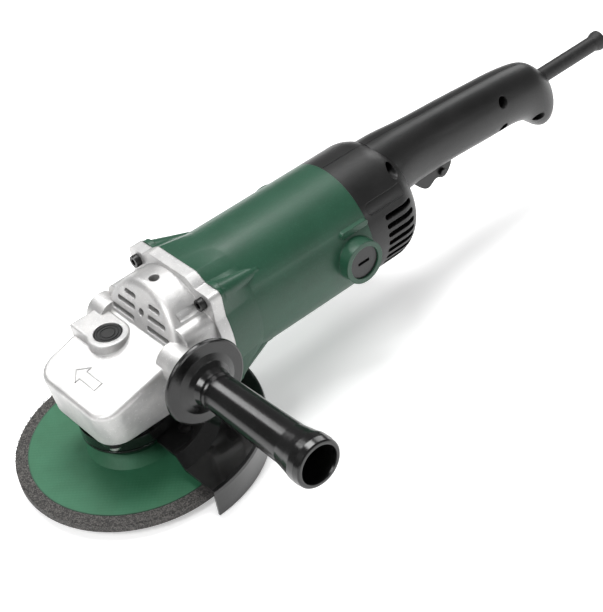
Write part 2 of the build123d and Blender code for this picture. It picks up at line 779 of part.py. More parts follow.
# ---- lock button -----------------------------------------------------------------------
cap_height = 3.0
cap_bottom = button_top - cap_height - 0.4
pin_tip = web_top_z + 1.5 - motor_z
spring_wire_r = 0.4
spring_r = pin_r + 1.5

with BuildPart() as lock_pin:
    rod(pin_r, pin_tip + 0.6, cap_bottom + 1.6, button_plane)
    with BuildSketch(button_plane.offset(pin_tip)):
        Circle(pin_r - 0.6)
    extrude(amount=0.6)
lock_pin.part.label = "lock_pin"
export_step(lock_pin.part, "parts/lock_pin.step")

with BuildPart() as lock_button:
    rod(button_r, cap_bottom, cap_bottom + cap_height, button_plane)
    chamfer(lock_button.edges().sort_by(Axis.Z)[-1], 0.6)
    tube(button_r - 1.6, button_r - 2.4, cap_bottom + cap_height - 0.5, cap_bottom + 20, button_plane, Mode.SUBTRACT)
    tube(button_r - 3.8, button_r - 4.6, cap_bottom + cap_height - 0.5, cap_bottom + 20, button_plane, Mode.SUBTRACT)
    rod(pin_r, cap_bottom, cap_bottom + 1.6, button_plane, Mode.SUBTRACT)
lock_button.part.label = "lock_button"
export_step(lock_button.part, "parts/lock_button.step")


def coil(radius, wire_r, bottom, top, turns, origin_plane):
    """A round wire wound into a spring between two heights over a plane."""
    height = top - bottom - 2 * wire_r
    path = origin_plane.offset(bottom + wire_r) * Helix(pitch=height / turns, height=height, radius=radius)
    with BuildPart() as spring:
        with BuildSketch(Plane(origin=path @ 0, z_dir=path % 0)):
            Circle(wire_r)
        sweep(path=path)
    return spring.part


with BuildPart() as lock_spring:
    add(coil(spring_r, spring_wire_r, button_top - 9.0, cap_bottom, 4, button_plane))
lock_spring.part.label = "lock_spring"
export_step(lock_spring.part, "parts/lock_spring.step")

# ---- side handle -----------------------------------------------------------------------
grip_r = 11.7
stud_in_case = 13.0


def turn_handle(outline, mode=Mode.ADD):
    """Turn a closed outline of (distance outwards, radius) points about the handle's axis."""
    points = [(handle_x + r, -distance) for distance, r in outline]
    with BuildSketch(Plane.XY.offset(handle_z)) as profile:
        with BuildLine():
            Polyline(*points, close=True)
        make_face()
    revolve(profile.sketch, axis=handle_axis, mode=mode)


with BuildPart() as side_handle_grip:
    turn_handle([
        (handle_seat_y, 0),
        (handle_seat_y, 13.0),
        (56.0, 15.0),
        (59.8, 26.8),
        (60.6, 27.8),
        (61.6, 28.0),
        (62.8, 27.6),
        (63.4, 26.6),
        (64.0, 20.0),
        (66.0, 15.8),
        (68.5, 13.0),
        (72.0, 11.4),
        (73.2, 12.2),
        (74.8, 12.3),
        (76.0, grip_r),
        (120.0, grip_r + 0.8),
        (141.0, grip_r + 1.3),
        (150.0, 14.6),
        (155.0, 15.8),
        (160.0, 15.9),
        (163.6, 15.3),
        (handle_end_y, 14.4),
        (handle_end_y, 12.6),
        (163.2, 12.2),
        (140.0, 8.6),
        (138.0, 6.0),
        (138.0, 0),
    ])
    rod(stud_r, handle_seat_y, handle_seat_y + 32.0, handle_plane, mode=Mode.SUBTRACT)
side_handle_grip.part.label = "side_handle_grip"
export_step(side_handle_grip.part, "parts/side_handle_grip.step")

with BuildPart() as side_handle_stud:
    rod(stud_r, handle_seat_y - stud_in_case, handle_seat_y + 32.0, handle_plane)
    chamfer(side_handle_stud.edges().sort_by(Axis.Y)[-1], 0.8)
side_handle_stud.part.label = "side_handle_stud"
export_step(side_handle_stud.part, "parts/side_handle_stud.step")

# ---- armature --------------------------------------------------------------------------
shaft_front_x = pinion_front_x + 1.0
pinion_seat_r = 2.6
front_seat_r = 5.0
core_seat_r = 6.0
rear_seat_r = 4.0
rear_bearing_width = 7.0
front_bearing_width = 8.0
shaft_rear_x = rear_bearing_x + rear_bearing_width + 1.0

with BuildPart() as armature_shaft:
    turn_motor([
        (shaft_front_x, 0),
        (shaft_front_x, pinion_seat_r - 0.3),
        (shaft_front_x + 0.3, pinion_seat_r),
        (pinion_back_x + 2.4, pinion_seat_r),
        (pinion_back_x + 2.4, front_seat_r),
        (front_bearing_x + front_bearing_width, front_seat_r),
        (front_bearing_x + front_bearing_width, core_seat_r),
        (rear_bearing_x - 2.0, core_seat_r),
        (rear_bearing_x, rear_seat_r),
        (shaft_rear_x - 0.5, rear_seat_r),
        (shaft_rear_x, rear_seat_r - 0.5),
        (shaft_rear_x, 0),
    ])
armature_shaft.part.label = "armature_shaft"
export_step(armature_shaft.part, "parts/armature_shaft.step")

# Bevel pinion: a gap between two teeth faces the gear at rest
pinion_out = Vector(cos(gear_slope), 0, sin(gear_slope))
pinion_up = Vector(-sin(gear_slope), 0, cos(gear_slope))
pinion_root_out = pinion_pitch_r - dedendum * cos(gear_slope)
root_out_x = gear_pitch_r + dedendum * sin(gear_slope)

with BuildPart() as pinion_tooth:
    loft(tooth_faces(pinion_out, pinion_up, 0.4), ruled=True)

with BuildPart() as pinion:
    turn_motor([
        (root_out_x * inner_share, pinion_seat_r),
        (root_out_x * inner_share, pinion_root_out * inner_share),
        (root_out_x, pinion_root_out),
        (root_out_x + 1.4, pinion_root_out - 0.6),
        (front_bearing_x, pinion_root_out - 0.6),
        (front_bearing_x, front_seat_r + 0.05),
        (pinion_back_x + 2.4, front_seat_r + 0.05),
        (pinion_back_x + 2.4, pinion_seat_r),
    ])
    for number in range(pinion_teeth):
        add(pinion_tooth.part.rotate(motor_axis, (number + 0.5 * (pinion_teeth % 2 == 0)) * 360 / pinion_teeth))
    rod(pinion_seat_r, 0, pinion_back_x + 2.4, motor_plane, mode=Mode.SUBTRACT)
pinion.part.label = "pinion"
export_step(pinion.part, "parts/pinion.step")

make_bearing("front_bearing", front_seat_r, 13.0, front_bearing_width, front_bearing_x, motor_plane, 8)
make_bearing("rear_bearing", rear_seat_r, 11.0, rear_bearing_width, rear_bearing_x, motor_plane, 7)

with BuildPart() as rear_bearing_sleeve:
    tube(12.6, 11.0, rear_bearing_x, rear_bearing_x + rear_bearing_width, motor_plane)
rear_bearing_sleeve.part.label = "rear_bearing_sleeve"
export_step(rear_bearing_sleeve.part, "parts/rear_bearing_sleeve.step")

slot_count = 12
slot_middle_r = armature_r - 4.2

with BuildPart() as armature_core:
    with BuildSketch(across(stator_front_x)):
        Circle(armature_r)
        Circle(core_seat_r, mode=Mode.SUBTRACT)
        with PolarLocations(slot_middle_r, slot_count):
            Circle(2.6, mode=Mode.SUBTRACT)
        with PolarLocations(armature_r - 1.0, slot_count):
            Rectangle(3.0, 1.6, mode=Mode.SUBTRACT)
    extrude(amount=stator_rear_x - stator_front_x)
armature_core.part.label = "armature_core"
export_step(armature_core.part, "parts/armature_core.step")

with BuildPart() as armature_windings:
    with BuildSketch(across(stator_front_x)):
        with PolarLocations(slot_middle_r, slot_count):
            Circle(2.5)
    extrude(amount=stator_rear_x - stator_front_x)
    for start, end in ((stator_front_x - 6.0, stator_front_x), (stator_rear_x, stator_rear_x + 10.0)):
        turn_motor([
            (start, core_seat_r + 1.5),
            (start, slot_middle_r),
            (start + 1.5, slot_middle_r + 2.4),
            (end - 1.5, slot_middle_r + 2.4),
            (end, slot_middle_r + 1.5),
            (end, core_seat_r + 1.5),
        ])
armature_windings.part.label = "armature_windings"
export_step(armature_windings.part, "parts/armature_windings.step")

with BuildPart() as commutator:
    tube(commutator_r, core_seat_r, brush_x - 8.5, brush_x + 8.5, motor_plane)
    tube(commutator_r + 1.6, core_seat_r, brush_x - 11.5, brush_x - 8.5, motor_plane)
    with BuildSketch(across(brush_x - 8.5)):
        with PolarLocations(commutator_r, 24):
            Rectangle(1.6, 0.6)
    extrude(amount=17.0, mode=Mode.SUBTRACT)
commutator.part.label = "commutator"
export_step(commutator.part, "parts/commutator.step")

fan_front_x = 63.0
fan_depth = 12.0
fan_r = 34.5
blade_count = 15

with BuildPart() as fan:
    tube(9.5, core_seat_r, fan_front_x - 1.0, fan_front_x + fan_depth, motor_plane)
    tube(fan_r, 9.0, fan_front_x + fan_depth - 2.0, fan_front_x + fan_depth, motor_plane)
    with BuildSketch(across(fan_front_x)):
        with PolarLocations((fan_r + 13.0) / 2, blade_count):
            Rectangle(fan_r - 14.0, 1.6, rotation=14)
    extrude(amount=fan_depth - 1.0)
fan.part.label = "fan"
export_step(fan.part, "parts/fan.step")

# ---- motor housing and field -----------------------------------------------------------
coil_inner_r = armature_r + air_gap + 1.6
coil_outer_r = 30.4
coil_end = 8.5
window_half_angle = 33.0
stop_x = stator_rear_x
stop_width = 5.0
wall_inner_r = housing_r - housing_wall
hub_r = 15.5
spider_x = 172.5
spider_width = 4.0
fan_room_r = wall_inner_r - 0.9

with BuildPart() as corner_bosses:
    with BuildSketch(across(joint_x)):
        add(flange_outline)
    with BuildSketch(across(86.0)):
        Circle(housing_r - 0.2)
    loft()

with BuildPart() as motor_housing:
    rod(housing_r, joint_x, rear_joint_x, motor_plane)
    add(corner_bosses.part)
    for spot_y, spot_z in screw_spots:
        with BuildSketch(across(joint_x)) as boss_front:
            with Locations((spot_y, spot_z)):
                Circle(8.2)
        with BuildSketch(across(92.0)) as boss_rear:
            with Locations((0.86 * spot_y, 0.86 * spot_z)):
                Circle(4.0)
        loft([boss_front.sketch, boss_rear.sketch])
    for side in (-1, 1):
        boss_plane = side_plane(brush_x, motor_z, side)
        rod(brush_boss_r, 30.0, brush_boss_y, boss_plane)
        # Raised bar over the brush boss
        with BuildSketch(boss_plane.offset(36.0)):
            with Locations((3.5, 19.0 * boss_plane.y_dir.Z)):
                SlotOverall(22.0, 4.4)
        extrude(amount=3.6)
    # Inside: fan chamber, stator seat with its stop, and the space round the brushes
    turn_motor([
        (joint_x, 0),
        (joint_x, dome_r - dome_wall),
        (joint_x + 1.0, fan_room_r),
        (stator_front_x - 8.0, fan_room_r),
        (stator_front_x - 8.0, stator_r),
        (stop_x, stator_r),
        (stop_x, coil_outer_r + 1.0),
        (stop_x + stop_width, coil_outer_r + 1.0),
        (stop_x + stop_width, wall_inner_r),
        (spider_x, wall_inner_r),
        (spider_x, 0),
    ], mode=Mode.SUBTRACT)
    # Rear wall with air windows, and the hub of the rear bearing
    rod(hub_r, spider_x, rear_bearing_x + rear_bearing_width, motor_plane)
    window = sector(hub_r + 3.0, wall_inner_r - 2.0, -20, 40)
    with BuildSketch(across(spider_x)):
        with PolarLocations(0, 6):
            add(window)
    extrude(amount=rear_joint_x - spider_x, mode=Mode.SUBTRACT)
    rod(core_seat_r + 1.0, spider_x, rear_bearing_x, motor_plane, mode=Mode.SUBTRACT)
    rod(12.6, rear_bearing_x, rear_bearing_x + rear_bearing_width, motor_plane, mode=Mode.SUBTRACT)
    # Sockets that hold the brush holders
    for side in (-1, 1):
        boss_plane = side_plane(brush_x, motor_z, side)
        with BuildSketch(boss_plane.offset(24.0)):
            Rectangle(15.0, 22.0)
        extrude(amount=16.0)
        with BuildSketch(boss_plane.offset(20.0)):
            Rectangle(10.0, 17.0)
        extrude(amount=40.0, mode=Mode.SUBTRACT)
        rod(brush_cap_r, 43.0, 60.0, boss_plane, mode=Mode.SUBTRACT)
    with BuildSketch(across(joint_x)):
        with Locations(*screw_spots):
            Circle(case_screw_r)
    extrude(amount=16.0, mode=Mode.SUBTRACT)
    with BuildSketch(across(stop_x)):
        with Locations((-34.0, 0), (34.0, 0)):
            Circle(2.0)
    extrude(amount=stop_width, mode=Mode.SUBTRACT)
motor_housing.part.label = "motor_housing"
export_step(motor_housing.part, "parts/motor_housing.step")

with BuildPart() as stator_core:
    window = sector(coil_inner_r - 1.2, coil_outer_r + 0.4, -window_half_angle, 2 * window_half_angle)
    with BuildSketch(across(stator_front_x)):
        Circle(stator_r)
        Circle(armature_r + air_gap, mode=Mode.SUBTRACT)
        with PolarLocations(0, 2):
            add(window, mode=Mode.SUBTRACT)
        with Locations((-34.0, 0), (34.0, 0)):
            Circle(2.2, mode=Mode.SUBTRACT)
    extrude(amount=stator_rear_x - stator_front_x)
stator_core.part.label = "stator_core"
export_step(stator_core.part, "parts/stator_core.step")

with BuildPart() as field_coils:
    side_angle = window_half_angle - 6.0
    leg = sector(coil_inner_r, coil_outer_r, 4.0, side_angle - 2.0)
    crown = sector(coil_inner_r, coil_outer_r, 4.0, 172.0)
    for turn_round in (0, 180):
        for mirrored in (False, True):
            face = leg.mirror(Plane.YZ) if mirrored else leg
            with BuildSketch(across(stator_front_x - 1.0)):
                with PolarLocations(0, 1, start_angle=turn_round):
                    add(face)
            extrude(amount=stator_rear_x - stator_front_x + 2.0)
        for start in (stator_front_x - coil_end, stator_rear_x + 1.0):
            with BuildSketch(across(start)):
                with PolarLocations(0, 1, start_angle=turn_round):
                    add(crown)
            extrude(amount=coil_end - 1.0)
field_coils.part.label = "field_coils"
export_step(field_coils.part, "parts/field_coils.step")

with BuildPart() as stator_screws:
    for y in (-34.0, 34.0):
        screw_line = Plane(origin=(0, y, motor_z), x_dir=(0, 1, 0), z_dir=(1, 0, 0))
        rod(2.0, stator_front_x, stop_x + stop_width, screw_line)
        rod(2.9, stator_front_x - 2.6, stator_front_x, screw_line)
stator_screws.part.label = "stator_screws"
export_step(stator_screws.part, "parts/stator_screws.step")

with BuildPart() as fan_baffle:
    turn_motor([
        (stator_front_x - 11.6, 27.0),
        (stator_front_x - 11.6, fan_room_r - 0.1),
        (stator_front_x - 9.8, fan_room_r - 0.1),
        (stator_front_x - 9.8, 27.0),
    ])
fan_baffle.part.label = "fan_baffle"
export_step(fan_baffle.part, "parts/fan_baffle.step")

with BuildPart() as brush_holders:
    for side in (-1, 1):
        boss_plane = side_plane(brush_x, motor_z, side)
        with BuildSketch(boss_plane.offset(commutator_r + 2.2)):
            Rectangle(9.8, 16.8)
            Rectangle(6.6, 13.2, mode=Mode.SUBTRACT)
        extrude(amount=43.0 - commutator_r - 2.2)
brush_holders.part.label = "brush_holders"
export_step(brush_holders.part, "parts/brush_holders.step")

with BuildPart() as carbon_brushes:
    for side in (-1, 1):
        boss_plane = side_plane(brush_x, motor_z, side)
        with BuildSketch(boss_plane.offset(commutator_r + running)):
            Rectangle(6.4, 13.0)
        extrude(amount=16.0)
carbon_brushes.part.label = "carbon_brushes"
export_step(carbon_brushes.part, "parts/carbon_brushes.step")

with BuildPart() as brush_springs:
    for side in (-1, 1):
        boss_plane = side_plane(brush_x, motor_z, side)
        add(coil(2.4, 0.35, commutator_r + running + 16.0, 43.0, 5, boss_plane))
brush_springs.part.label = "brush_springs"
export_step(brush_springs.part, "parts/brush_springs.step")

with BuildPart() as brush_caps:
    for side in (-1, 1):
        boss_plane = side_plane(brush_x, motor_z, side)
        rod(brush_cap_r - running, 43.0, brush_boss_y - 1.2, boss_plane)
        with BuildSketch(boss_plane.offset(brush_boss_y - 3.2)):
            Rectangle(9.0, 2.2)
        extrude(amount=3.0, mode=Mode.SUBTRACT)
brush_caps.part.label = "brush_caps"
export_step(brush_caps.part, "parts/brush_caps.step")

# ---- tail handle -----------------------------------------------------------------------
seam_x = rear_joint_x
rear_flange_x = 368.6


def grip_body(inset, first_x, last_x):
    """The handle's long body, or the space inside it when inset by the wall."""
    sections = []
    for x, centre, half_width, half_height in grip_stations:
        with BuildSketch(across(min(max(x, first_x), last_x), motor_z + centre)) as section:
            Ellipse(half_width - inset, half_height - inset)
        sections.append(section.sketch)
    return loft(sections, mode=Mode.PRIVATE)


def bulb(inset):
    """The round body behind the motor, or the space inside it."""
    with BuildSketch(Plane.XZ) as outline:
        with BuildLine():
            straight_end = bulb_end_x - bulb_round
            Line((seam_x, motor_z), (seam_x, motor_z + housing_r - inset))
            Line((seam_x, motor_z + housing_r - inset), (straight_end, motor_z + housing_r - inset))
            RadiusArc(
                (straight_end, motor_z + housing_r - inset),
                (bulb_end_x - inset, motor_z + housing_r - bulb_round),
                bulb_round - inset,
            )
            Line((bulb_end_x - inset, motor_z + housing_r - bulb_round), (bulb_end_x - inset, motor_z))
            Line((bulb_end_x - inset, motor_z), (seam_x, motor_z))
        make_face()
    revolve(outline.sketch, axis=motor_axis)


handle_screw_spots = [(213.0, 31.0), (205.0, -31.0), (322.0, 22.0), (322.0, 1.0), (357.0, -9.0)]
screw_boss_r = 4.6
screw_seat_y = 3.4
handle_screw_r = 1.9
louvre_count = 7
switch_front_x = 232.0
switch_length = 32.0
switch_half_width = 8.0
switch_bottom = 12.5
switch_height = 14.5
opening_front_x = trigger_front_x - 1.0
opening_rear_x = trigger_rear_x + 1.0
trigger_top = 3.5
pivot_pin_r = 1.5

with BuildPart() as tail_outside:
    bulb(0)
    add(grip_body(0, 0, 1000))

with BuildPart() as tail_inside:
    bulb(tail_wall)
    add(grip_body(tail_wall, 0, rear_flange_x - 1.8))

pivot_z = motor_z + trigger_pivot_over_motor
relief_plane = Plane(origin=(0, 0, relief_z), x_dir=(0, 1, 0), z_dir=(1, 0, 0))


# Shallow channel along both sides of the bulb, over the louvres
with BuildPart() as channel:
    tube(housing_r + 8.0, housing_r - 1.4, 180.0, 212.0, motor_plane)
    with BuildSketch(Plane.XZ):
        with Locations((197.0, motor_z + 22.5)):
            SlotOverall(33.0, 7.0)
    extrude(amount=60.0, both=True, mode=Mode.INTERSECT)


def make_shell(name, side):
    """One half of the tail handle, on the side of the centre plane that side names."""
    with BuildPart() as shell:
        add(tail_outside.part)
        add(tail_inside.part, mode=Mode.SUBTRACT)
        # Columns for the screws that hold the halves together
        with BuildSketch(Plane.XZ):
            with Locations(*[(x, motor_z + z) for x, z in handle_screw_spots]):
                Circle(screw_boss_r)
        extrude(amount=60.0, both=True)
        # Ears that carry the trigger's pin
        for ear_side in (-1, 1):
            rod(3.6, trigger_half_width + free, 40.0, side_plane(trigger_pivot_x, pivot_z, ear_side))
        add(tail_outside.part, mode=Mode.INTERSECT)
        for ear_side in (-1, 1):
            rod(pivot_pin_r, 0, 12.5, side_plane(trigger_pivot_x, pivot_z, ear_side), Mode.SUBTRACT)
        with BuildSketch(Plane.XZ):
            with Locations(*[(x, motor_z + z) for x, z in handle_screw_spots]):
                Circle(handle_screw_r + 0.2)
        extrude(amount=60.0, both=True, mode=Mode.SUBTRACT)
        with BuildSketch(Plane.XZ.offset(screw_seat_y)):
            with Locations(*[(x, motor_z + z) for x, z in handle_screw_spots]):
                Circle(3.9)
        extrude(amount=60.0, mode=Mode.SUBTRACT)
        # Opening for the trigger
        with BuildSketch(Plane.XY.offset(motor_z - 14.0)):
            with Locations(((opening_front_x + opening_rear_x) / 2, 0)):
                Rectangle(opening_rear_x - opening_front_x, 2 * (trigger_half_width + free))
        extrude(amount=20.0, mode=Mode.SUBTRACT)
        # Shallow channel over the louvres
        add(channel.part, mode=Mode.SUBTRACT)
        # Air louvres low on the bulb
        with BuildSketch(Plane.XZ):
            with Locations(*[(louvre_x(n), motor_z + louvre_z(n)) for n in range(louvre_count)]):
                SlotOverall(24.0, 3.6)
        extrude(amount=60.0, both=True, mode=Mode.SUBTRACT)
        # Seat of the strain relief
        rod(relief_r + 0.05, rear_flange_x, relief_end_x, relief_plane, mode=Mode.SUBTRACT)
        rod(relief_r + 3.0, rear_flange_x - 2.5, rear_flange_x, relief_plane, mode=Mode.SUBTRACT)
        split(bisect_by=Plane(origin=(0, 0, 0), z_dir=(0, side, 0)), keep=Keep.TOP)
    shell.part.label = name
    export_step(shell.part, f"parts/{name}.step")


def louvre_x(number):
    """Middle of an air louvre along the bulb."""
    return 203.0 - 0.4 * number


def louvre_z(number):
    """Height of an air louvre over the motor axis."""
    return 13.0 - 6.2 * number


make_shell("handle_shell_left", -1)
make_shell("handle_shell_right", 1)

with BuildPart() as handle_screws:
    head_y = 9.0
    for x, height in handle_screw_spots:
        screw_line = side_plane(x, motor_z + height, -1)
        rod(3.5, screw_seat_y, screw_seat_y + 2.6, screw_line)
        rod(handle_screw_r, -head_y, screw_seat_y, screw_line)
        with BuildSketch(screw_line.offset(screw_seat_y + 1.2)):
            Rectangle(4.4, 1.0)
            Rectangle(1.0, 4.4)
        extrude(amount=1.4, mode=Mode.SUBTRACT)
handle_screws.part.label = "handle_screws"
export_step(handle_screws.part, "parts/handle_screws.step")

# ---- switch and trigger ----------------------------------------------------------------
lock_on_x = 270.0
lock_on_over_motor = -9.5
lock_on_r = 2.6
lock_on_travel = 2.5
trigger_spring_x = 252.0

with BuildPart() as switch_body:
    with BuildSketch(Plane.XY.offset(motor_z + switch_bottom)):
        with Locations((switch_front_x + switch_length / 2, 0)):
            RectangleRounded(switch_length, 2 * switch_half_width, 1.5)
    extrude(amount=switch_height)
switch_body.part.label = "switch_body"
export_step(switch_body.part, "parts/switch_body.step")

with BuildPart() as trigger:
    with BuildSketch(Plane.XZ.offset(-trigger_half_width)):
        with BuildLine():
            Polyline(
                (trigger_front_x + 1.0, motor_z - 5.0),
                (trigger_front_x + 0.5, motor_z + trigger_top),
                (trigger_rear_x - 1.0, motor_z + trigger_top),
                (trigger_rear_x - 0.6, motor_z - 6.0),
            )
            Spline(
                (trigger_rear_x - 0.6, motor_z - 6.0),
                (trigger_rear_x - 4.0, motor_z - 11.6),
                (lock_on_x + 1.2, motor_z - 14.4),
                (265.0, motor_z - 12.2),
                (257.5, motor_z - 15.6),
                (250.0, motor_z - 11.6),
                (trigger_front_x + 1.0, motor_z - 5.0),
            )
        make_face()
    extrude(amount=2 * trigger_half_width)
    rod(pivot_pin_r + running, -20, 20, side_plane(trigger_pivot_x, pivot_z, 1), Mode.SUBTRACT)
    rod(lock_on_r + running, -20, 20, side_plane(lock_on_x, motor_z + lock_on_over_motor, 1), Mode.SUBTRACT)
trigger.part.label = "trigger"
export_step(trigger.part, "parts/trigger.step")

with BuildPart() as trigger_pin:
    rod(pivot_pin_r, -12.4, 12.4, side_plane(trigger_pivot_x, pivot_z, 1))
trigger_pin.part.label = "trigger_pin"
export_step(trigger_pin.part, "parts/trigger_pin.step")

with BuildPart() as trigger_spring:
    spring_base = Plane(origin=(trigger_spring_x, 0, motor_z))
    add(coil(3.0, 0.4, trigger_top, switch_bottom, 5, spring_base))
trigger_spring.part.label = "trigger_spring"
export_step(trigger_spring.part, "parts/trigger_spring.step")

with BuildPart() as lock_on_button:
    button_line = side_plane(lock_on_x, motor_z + lock_on_over_motor, -1)
    rod(lock_on_r, -trigger_half_width + 1.5, trigger_half_width + 2.2, button_line)
    fillet(lock_on_button.edges().sort_by(Axis.Y)[0], 0.8)
lock_on_button.part.label = "lock_on_button"
export_step(lock_on_button.part, "parts/lock_on_button.step")

# ---- cord entry and wiring -------------------------------------------------------------
with BuildPart() as strain_relief:
    rod(relief_r, rear_flange_x - 2.4, relief_end_x, relief_plane)
    rod(relief_r + 2.9, rear_flange_x - 2.4, rear_flange_x - 0.1, relief_plane)
    with BuildSketch(relief_plane.offset(relief_end_x - 7.0)):
        Circle(relief_r)
    with BuildSketch(relief_plane.offset(relief_end_x - 2.5)):
        Circle(relief_r + 1.5)
    loft()
    rod(relief_r + 1.5, relief_end_x - 2.5, relief_end_x, relief_plane)
    rod(relief_bore_r, 0, 500, relief_plane, mode=Mode.SUBTRACT)
strain_relief.part.label = "strain_relief"
export_step(strain_relief.part, "parts/strain_relief.step")

clamp_x = 348.0
clamp_half_width = 9.3
clamp_leg = 3.0
clamp_over_cord = relief_over_motor + relief_bore_r + 0.2

with BuildPart() as cord_clamp:
    with BuildSketch(across(clamp_x)):
        with Locations((0, clamp_over_cord + clamp_leg / 2)):
            Rectangle(2 * clamp_half_width, clamp_leg)
        for side in (-1, 1):
            with Locations((side * (clamp_half_width - clamp_leg / 2), (clamp_over_cord - 2.4) / 2)):
                Rectangle(clamp_leg, clamp_over_cord + 2.4)
    extrude(amount=8.0)
cord_clamp.part.label = "cord_clamp"
export_step(cord_clamp.part, "parts/cord_clamp.step")

wire_r = 1.1
with BuildPart() as lead_wires:
    for side in (-1, 1):
        with BuildLine() as wire_path:
            FilletPolyline(
                (switch_front_x - 0.1, side * 4.0, motor_z + 20.0),
                (222.0, side * 4.0, motor_z + 20.0),
                (200.0, side * 22.0, motor_z + 7.0),
                (188.0, side * 27.0, motor_z + 3.0),
                (brush_x + 7.6, side * 27.0, motor_z + 3.0),
                radius=9.0,
            )
        with BuildSketch(Plane(origin=wire_path.line @ 0, z_dir=wire_path.line % 0)):
            Circle(wire_r)
        sweep(path=wire_path.line)
lead_wires.part.label = "lead_wires"
export_step(lead_wires.part, "parts/lead_wires.step")
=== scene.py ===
import math

import bmesh
import bpy
from mathutils import Matrix, Vector


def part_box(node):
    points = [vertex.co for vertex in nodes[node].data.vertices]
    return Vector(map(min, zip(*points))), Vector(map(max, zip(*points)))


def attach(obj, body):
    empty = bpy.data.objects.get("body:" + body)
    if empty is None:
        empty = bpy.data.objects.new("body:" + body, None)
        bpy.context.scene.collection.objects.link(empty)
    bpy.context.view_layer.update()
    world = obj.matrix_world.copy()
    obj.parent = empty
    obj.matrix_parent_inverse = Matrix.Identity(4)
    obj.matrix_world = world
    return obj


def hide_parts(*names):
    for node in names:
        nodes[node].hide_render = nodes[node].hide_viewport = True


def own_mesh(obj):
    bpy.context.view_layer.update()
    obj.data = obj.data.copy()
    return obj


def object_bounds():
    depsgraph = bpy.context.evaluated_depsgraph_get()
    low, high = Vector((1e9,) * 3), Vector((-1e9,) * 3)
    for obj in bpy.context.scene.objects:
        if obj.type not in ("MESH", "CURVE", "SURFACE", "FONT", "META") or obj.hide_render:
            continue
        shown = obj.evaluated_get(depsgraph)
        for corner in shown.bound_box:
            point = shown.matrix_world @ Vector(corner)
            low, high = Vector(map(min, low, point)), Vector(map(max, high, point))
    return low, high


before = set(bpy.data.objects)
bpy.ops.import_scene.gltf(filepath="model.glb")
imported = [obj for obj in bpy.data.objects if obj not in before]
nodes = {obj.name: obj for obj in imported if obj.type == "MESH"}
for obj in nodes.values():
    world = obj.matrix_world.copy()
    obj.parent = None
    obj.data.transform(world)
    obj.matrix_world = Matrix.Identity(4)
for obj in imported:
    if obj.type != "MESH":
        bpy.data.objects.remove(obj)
cad_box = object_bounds()
MM = 0.001

# ---- places and sizes -------------------------------------------------------------------
# The disc and its label are read from the frame; the other two are given
DISC_LOW, DISC_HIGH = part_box("grinding_disc")
DISC_R = DISC_HIGH.x
RIM_TOP_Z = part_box("disc_label")[0].z
LABEL_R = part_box("disc_label")[1].x
MOTOR_Z = 71.0 * MM
GLASS_MESH_PITCH = 3.2 * MM


# ---- shader arithmetic ------------------------------------------------------------------
class Value:
    """A shader socket that adds Math nodes when it takes part in arithmetic."""

    def __init__(self, finish, socket):
        self.finish = finish
        self.socket = socket

    def math(self, operation, *others):
        return self.finish.node(
            "ShaderNodeMath", {"operation": operation}, {0: self, **{i + 1: o for i, o in enumerate(others)}}
        )

    def __add__(self, other):
        return self.math("ADD", other)

    __radd__ = __add__

    def __mul__(self, other):
        return self.math("MULTIPLY", other)

    def __sub__(self, other):
        return self.math("SUBTRACT", other)

    def __rsub__(self, other):
        return self * -1.0 + other

    def __abs__(self):
        return self.math("ABSOLUTE")

    def __pow__(self, other):
        return self.math("POWER", other)

    def above(self, low, high):
        """0 below low and 1 above high, with a soft change between them."""
        return self.finish.node(
            "ShaderNodeMapRange",
            {"interpolation_type": "SMOOTHSTEP"},
            {"Value": self, "From Min": low, "From Max": high, "To Min": 0.0, "To Max": 1.0},
        )

    def below(self, low, high):
        """1 below low and 0 above high, with a soft change between them."""
        return 1 - self.above(low, high)


